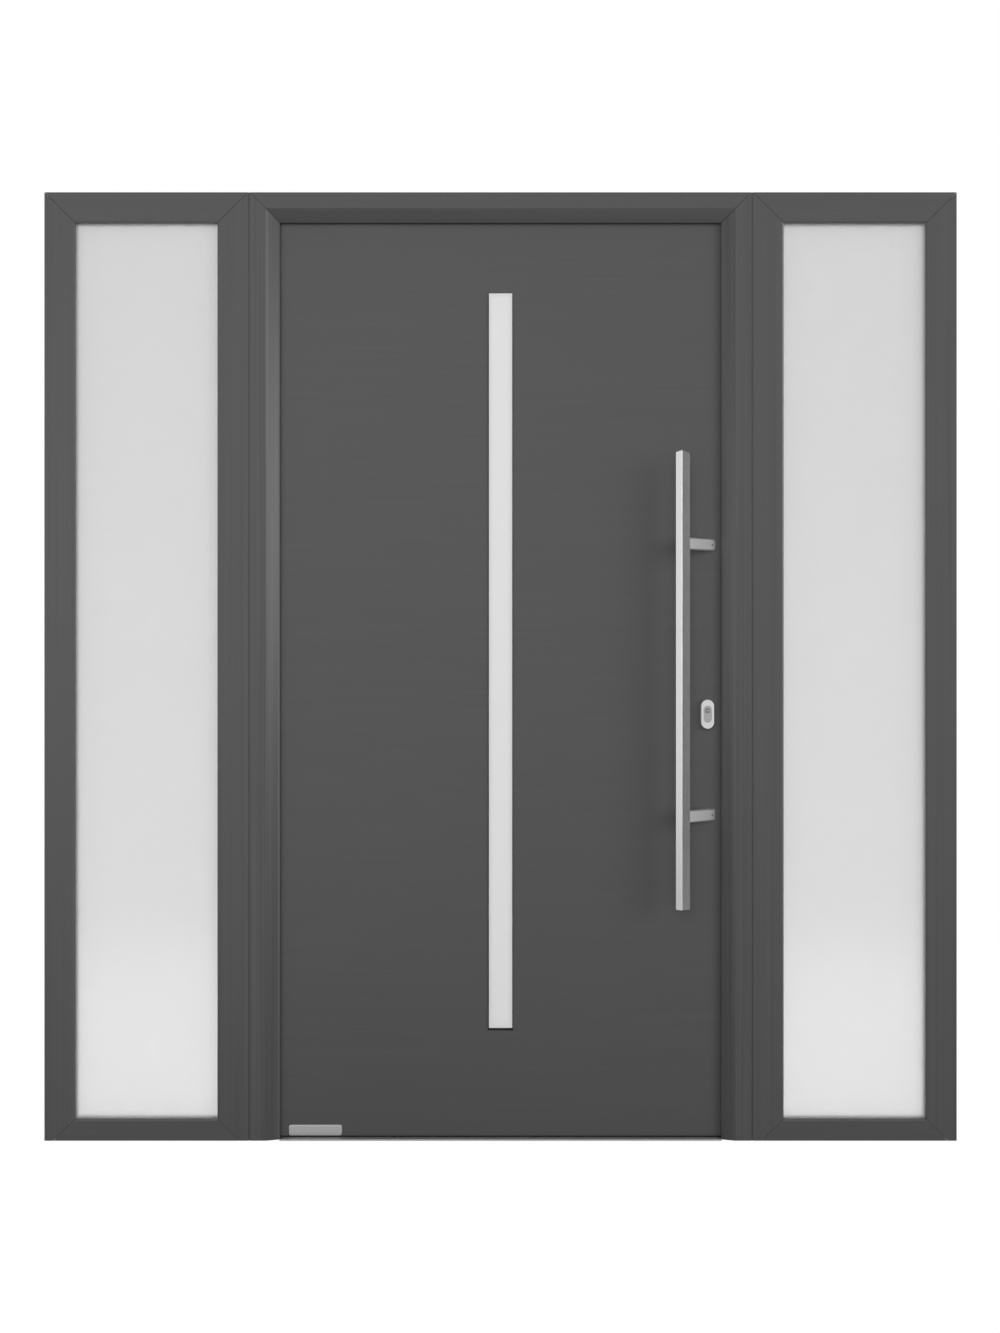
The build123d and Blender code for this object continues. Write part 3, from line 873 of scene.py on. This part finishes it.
@dataclass
class LockSet:
    """Lock cylinder, escutcheons, inside lever and lock edge.

    Args:
        plug_x: Place of the cylinder across the leaf.
        plug_z: Height of the cylinder's plug.
        cover_z: Height of the middle of the oval covers in the escutcheons.
        cover_width: Width of the covers.
        cover_height: Height of the covers.
        cover_thickness: Thickness of the covers.
        cover_round: Corner radius of the covers as a share of their width, just short of a half.
        rose_edge: Rounded edge of the escutcheons.
        edge_screws: Heights of the screws in the faceplate.
    """

    plug_x: float = 460 * MM
    plug_z: float = 952 * MM
    cover_z: float = 944 * MM
    cover_width: float = 17.4 * MM
    cover_height: float = 37.4 * MM
    cover_thickness: float = 0.3 * MM
    cover_round: float = 1 / 2.001
    rose_edge: float = 0.5 * MM
    edge_screws: tuple[float, ...] = (
        222 * MM, 480 * MM, 720 * MM, 890 * MM, 1110 * MM, 1330 * MM, 1682 * MM,
    )

    def build(self) -> None:
        """Dresses the lock and adds its plug faces and screws."""
        dress("cylinder_escutcheons", ROSE_STEEL, self.rose_edge)
        dress("lock_cylinder", CYLINDER_NICKEL)
        dress(["inside_lever", "lever_rose"], LEVEL_STEEL)
        dress(["lock_faceplate", "lock_bolts"], UPRIGHT_STEEL)
        low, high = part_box("lock_cylinder")
        mesh = bmesh.new()
        CYLINDER_PLUG.add_to(mesh, Vector((self.plug_x, low.y, self.plug_z)), Vector((0, -1, 0)))
        CYLINDER_PLUG.add_to(mesh, Vector((self.plug_x, high.y, self.plug_z)), Vector((0, 1, 0)))
        add_piece("cylinder_plugs", mesh, PLUG_NICKEL_PAINTED_SHADE, "leaf")
        self._covers(low.y, high.y)
        low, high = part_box("lock_faceplate")
        seats = [Vector((high.x, (low.y + high.y) / 2, height)) for height in self.edge_screws]
        add_heads("faceplate_screws", PLATE_SCREW, seats, Vector((1, 0, 0)), SCREW_STEEL, "leaf")

    def _covers(self, outside: float, inside: float) -> None:
        """Lays a thin oval cover over the cylinder in each escutcheon.

        Args:
            outside: Outer face of the cylinder.
            inside: Inner face of the cylinder.
        """
        mesh = bmesh.new()
        corner = self.cover_width * self.cover_round
        points = rounded_rectangle(self.cover_width, self.cover_height, corner)
        for face, outward in ((outside, -1), (inside, 1)):
            turn = Matrix.Rotation(outward * -math.pi / 2, 4, "X")
            place = Matrix.Translation((self.plug_x, face, self.cover_z)) @ turn
            back = add_ring(mesh, place, points, -self.cover_thickness / 2)
            front = add_ring(mesh, place, points, self.cover_thickness)
            bridge(mesh, back, front)
            mesh.faces.new(back)
            mesh.faces.new(front)
        add_piece("cylinder_covers", mesh, CYLINDER_NICKEL, "leaf")


@dataclass
class Hinges:
    """Three hinges on the inside.

    Args:
        bottoms: Height of the lower end of each hinge.
        rows: Heights of the screws over that end.
        frame_x: Place of the screws in the frame's plates.
        leaf_x: Place of the screws in the leaf's plates.
        plate_y: Face of the plates.
        edge: Rounded edge of the hinges.
    """

    bottoms: tuple[float, ...] = (205 * MM, 974.5 * MM, 1744 * MM)
    rows: tuple[float, ...] = (16 * MM, 55 * MM, 94 * MM)
    frame_x: float = -541 * MM
    leaf_x: float = -485 * MM
    plate_y: float = 49 * MM
    edge: float = 0.4 * MM

    def build(self) -> None:
        """Dresses the hinges and adds their screws."""
        dress(["hinge_frame_halves", "hinge_leaf_halves", "hinge_pins"], HINGE_STEEL, self.edge)
        for body, place in (("frame", self.frame_x), ("leaf", self.leaf_x)):
            seats = [Vector((place, self.plate_y, low + row)) for low in self.bottoms for row in self.rows]
            add_heads(f"hinge_screws_{body}", PLATE_SCREW, seats, Vector((0, 1, 0)), SCREW_STEEL, body)


@dataclass
class BarePlate:
    """Plain rounded plate low on the hinge side of the leaf.

    Args:
        middle_x: Middle of the plate across the leaf.
        middle_z: Height of its middle.
        width: Width of the plate.
        height: Height of the plate.
        corner: Corner radius.
        thickness: How far it stands off the leaf.
        bevel: Width of its bevelled rim.
        profile: Steps up its side, as shares of the bevel inwards and of the thickness outwards.
    """

    middle_x: float = -412 * MM
    middle_z: float = 17.8 * MM
    width: float = 118 * MM
    height: float = 24 * MM
    corner: float = 5 * MM
    thickness: float = 1.4 * MM
    bevel: float = 1.2 * MM
    profile: tuple[Point, ...] = ((0.0, -0.3), (0.0, 0.55), (0.35, 0.85), (1.0, 1.0))

    def build(self) -> None:
        """Builds the plate on the front of the leaf."""
        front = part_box("leaf_outer_panel")[0].y
        seat = Vector((self.middle_x, front, self.middle_z))
        turn = Matrix(((1, 0, 0), (0, 0, -1), (0, 1, 0))).to_4x4()
        place = Matrix.Translation(seat) @ turn
        mesh = bmesh.new()
        rings = []
        for inset, lift in self.profile:
            shrink = inset * self.bevel
            width, height = self.width - 2 * shrink, self.height - 2 * shrink
            points = rounded_rectangle(width, height, self.corner - shrink)
            rings.append(add_ring(mesh, place, points, lift * self.thickness))
        for lower, upper in zip(rings, rings[1:]):
            bridge(mesh, lower, upper)
        mesh.faces.new(rings[0])
        mesh.faces.new(rings[-1])
        add_piece("bare_plate", mesh, PLATE_SILVER, "leaf")


# Studio


@dataclass(frozen=True)
class Lamp:
    """A square soft lamp, which never shows through glass.

    Args:
        name: Name of the lamp.
        place: Where it hangs.
        aim: Point that it faces.
        size: Length of its sides.
        power: Power in watts.
        mirrored: Whether glossy surfaces show it.
    """

    name: str
    place: tuple[float, float, float]
    aim: tuple[float, float, float]
    size: float
    power: float
    mirrored: bool = True

    def build(self) -> None:
        """Hangs the lamp."""
        data = bpy.data.lights.new(self.name, "AREA")
        data.size = self.size
        data.energy = self.power
        lamp = bpy.data.objects.new(self.name, data)
        lamp.location = self.place
        lamp.visible_glossy = self.mirrored
        lamp.visible_transmission = False
        lamp.rotation_euler = (Vector(self.aim) - Vector(self.place)).to_track_quat("-Z", "Y").to_euler()
        bpy.context.scene.collection.objects.link(lamp)


@dataclass
class Studio:
    """White studio with a soft key from the upper right and a camera straight in front.

    Args:
        distance: Camera to the front of the frame.
        view_height: Height that the picture spans at the front of the frame.
        eye: Place of the camera across and up.
        sensor: Height of the camera's sensor, in millimetres.
        ambient: Strength of the soft light from the front and from the back.
        floor_colour: Grey of the floor where it lights the door.
        floor_white: Share of plain white in the floor that the camera sees.
        floor_mirrored: Share of plain white in the floor that mirroring surfaces show.
        floor_glow: Strength of that white.
        floor_behind: How much stronger it is through glass.
        dark_side: How much darker the far right is in mirrored metal.
        side_span: Where that darkening starts and ends, as the sideways part of a direction.
        dim_top: How much darker the upper background is through glass.
        top_span: Where that dimming starts and ends, as the upward part of a direction.
        back_span: Where the soft light turns from front to back, as the inward part of a direction.
        floor_x: Left and right end of the floor.
        floor_y: Front and back end of the floor.
        lamps: The lamps.
    """

    distance: float = 4.5
    view_height: float = 2.951
    eye: Point = (-0.0012, 1.05)
    sensor: float = 36.0
    ambient: Point = (0.36, 1.5)
    floor_colour: float = 0.36
    floor_white: float = 0.86
    floor_mirrored: float = 0.35
    floor_glow: float = 1.13
    floor_behind: float = 0.09
    dark_side: float = 0.87
    side_span: Point = (0.5, 0.9)
    dim_top: float = 0.2
    top_span: Point = (-0.25, 0.4)
    back_span: Point = (0.0, 0.6)
    floor_x: Point = (-7.0, 3.5)
    floor_y: Point = (-2.6, 3.0)
    lamps: tuple[Lamp, ...] = (
        Lamp("key", place=(15.6, -12.0, 4.6), aim=(0.0, 0.0, 1.0), size=9.2, power=1880.0),
        Lamp("front", place=(-0.6, -6.0, 2.4), aim=(0.0, 0.0, 1.2), size=2.5, power=125.0, mirrored=False),
        Lamp("fill", place=(-3.6, -4.6, 1.6), aim=(-0.4, 0.0, 1.2), size=2.0, power=36.0),
    )

    def build(self) -> None:
        """Builds the floor, light and camera."""
        self._camera()
        self._world()
        self._floor()
        for lamp in self.lamps:
            lamp.build()
        bpy.context.scene.view_settings.view_transform = "Standard"
        log.info("studio built")

    def _camera(self) -> None:
        """Puts the camera straight in front of the door."""
        data = bpy.data.cameras.new("camera")
        data.sensor_fit = "VERTICAL"
        data.sensor_height = self.sensor
        data.lens = self.sensor * self.distance / self.view_height
        camera = bpy.data.objects.new("camera", data)
        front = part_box("head_outer_profile")[0].y
        camera.location = (self.eye[0], front - self.distance, self.eye[1])
        camera.rotation_euler = (math.pi / 2, 0.0, 0.0)
        bpy.context.scene.collection.objects.link(camera)
        bpy.context.scene.camera = camera

    def _world(self) -> None:
        """Makes the surroundings white to the eye and a soft grey as light."""
        world = bpy.data.worlds.new("studio")
        world.use_nodes = True
        bpy.context.scene.world = world
        sheet = NodeSheet(world.node_tree)
        soft = world.node_tree.nodes["Background"]
        soft.inputs["Color"].default_value = (1.0, 1.0, 1.0, 1.0)
        white = sheet.add("Background")
        white.inputs["Color"].default_value = (1.0, 1.0, 1.0, 1.0)
        path = sheet.add("LightPath").outputs
        seen = sheet.math("MAXIMUM", path["Is Camera Ray"], path["Is Glossy Ray"])
        seen = sheet.math("MAXIMUM", seen, path["Is Transmission Ray"])
        split = sheet.add("SeparateXYZ")
        sheet.feed(split.inputs[0], sheet.add("TexCoord").outputs["Generated"])
        side = sheet.ramp(split.outputs["X"], self.side_span, (0.0, self.dark_side))
        high = sheet.ramp(split.outputs["Z"], self.top_span, (0.0, self.dim_top))
        mirrored = sheet.math("GREATER_THAN", path["Is Glossy Ray"], path["Is Transmission Ray"])
        shade = sheet.math("MULTIPLY", side, mirrored)
        dimmed = sheet.math("MULTIPLY", high, path["Is Transmission Ray"])
        darkened = sheet.math("ADD", shade, dimmed)
        sheet.feed(white.inputs["Strength"], sheet.math("SUBTRACT", 1.0, darkened))
        front_to_back = sheet.ramp(split.outputs["Y"], self.back_span, self.ambient)
        sheet.feed(soft.inputs["Strength"], front_to_back)
        mix = sheet.add("MixShader")
        sheet.feed(mix.inputs[0], seen)
        sheet.feed(mix.inputs[1], soft.outputs[0])
        sheet.feed(mix.inputs[2], white.outputs[0])
        sheet.feed(world.node_tree.nodes["World Output"].inputs["Surface"], mix.outputs[0])

    def _floor(self) -> None:
        """Lays a pale floor that keeps the door's shadow."""
        (left, right), (near, far) = self.floor_x, self.floor_y
        mesh = bmesh.new()
        corners = ((left, near), (right, near), (right, far), (left, far))
        mesh.faces.new([mesh.verts.new((x, y, 0.0)) for x, y in corners])
        data = bpy.data.meshes.new("floor")
        mesh.to_mesh(data)
        mesh.free()
        finish = bpy.data.materials.new("studio_floor")
        finish.use_nodes = True
        sheet = NodeSheet(finish.node_tree)
        finish.node_tree.nodes.remove(finish.node_tree.nodes["Principled BSDF"])
        matt = sheet.add("BsdfDiffuse")
        matt.inputs["Color"].default_value = (self.floor_colour,) * 3 + (1.0,)
        white = sheet.add("Emission")
        path = sheet.add("LightPath").outputs
        more = sheet.math("MULTIPLY", path["Is Transmission Ray"], self.floor_behind)
        sheet.feed(white.inputs["Strength"], sheet.math("ADD", more, self.floor_glow))
        mix = sheet.add("MixShader")
        seen = sheet.math("MULTIPLY", path["Is Camera Ray"], self.floor_white)
        mirrored = sheet.math("MULTIPLY", path["Is Glossy Ray"], self.floor_mirrored)
        seen = sheet.math("MAXIMUM", seen, mirrored)
        sheet.feed(mix.inputs[0], sheet.math("MAXIMUM", seen, path["Is Transmission Ray"]))
        sheet.feed(mix.inputs[1], matt.outputs[0])
        sheet.feed(mix.inputs[2], white.outputs[0])
        sheet.feed(finish.node_tree.nodes["Material Output"].inputs["Surface"], mix.outputs[0])
        data.materials.append(finish)
        floor = bpy.data.objects.new("floor", data)
        bpy.context.scene.collection.objects.link(floor)


def main() -> None:
    """Dresses the door and builds the studio round it."""
    logging.basicConfig(level=logging.INFO, format="%(message)s")
    pieces = (
        DoorFrame(), Sidelight(Side.LEFT), Sidelight(Side.RIGHT), Leaf(),
        PullHandle(), LockSet(), Hinges(), BarePlate(), Studio(),
    )
    for piece in pieces:
        piece.build()


if __name__ == "__main__":
    main()
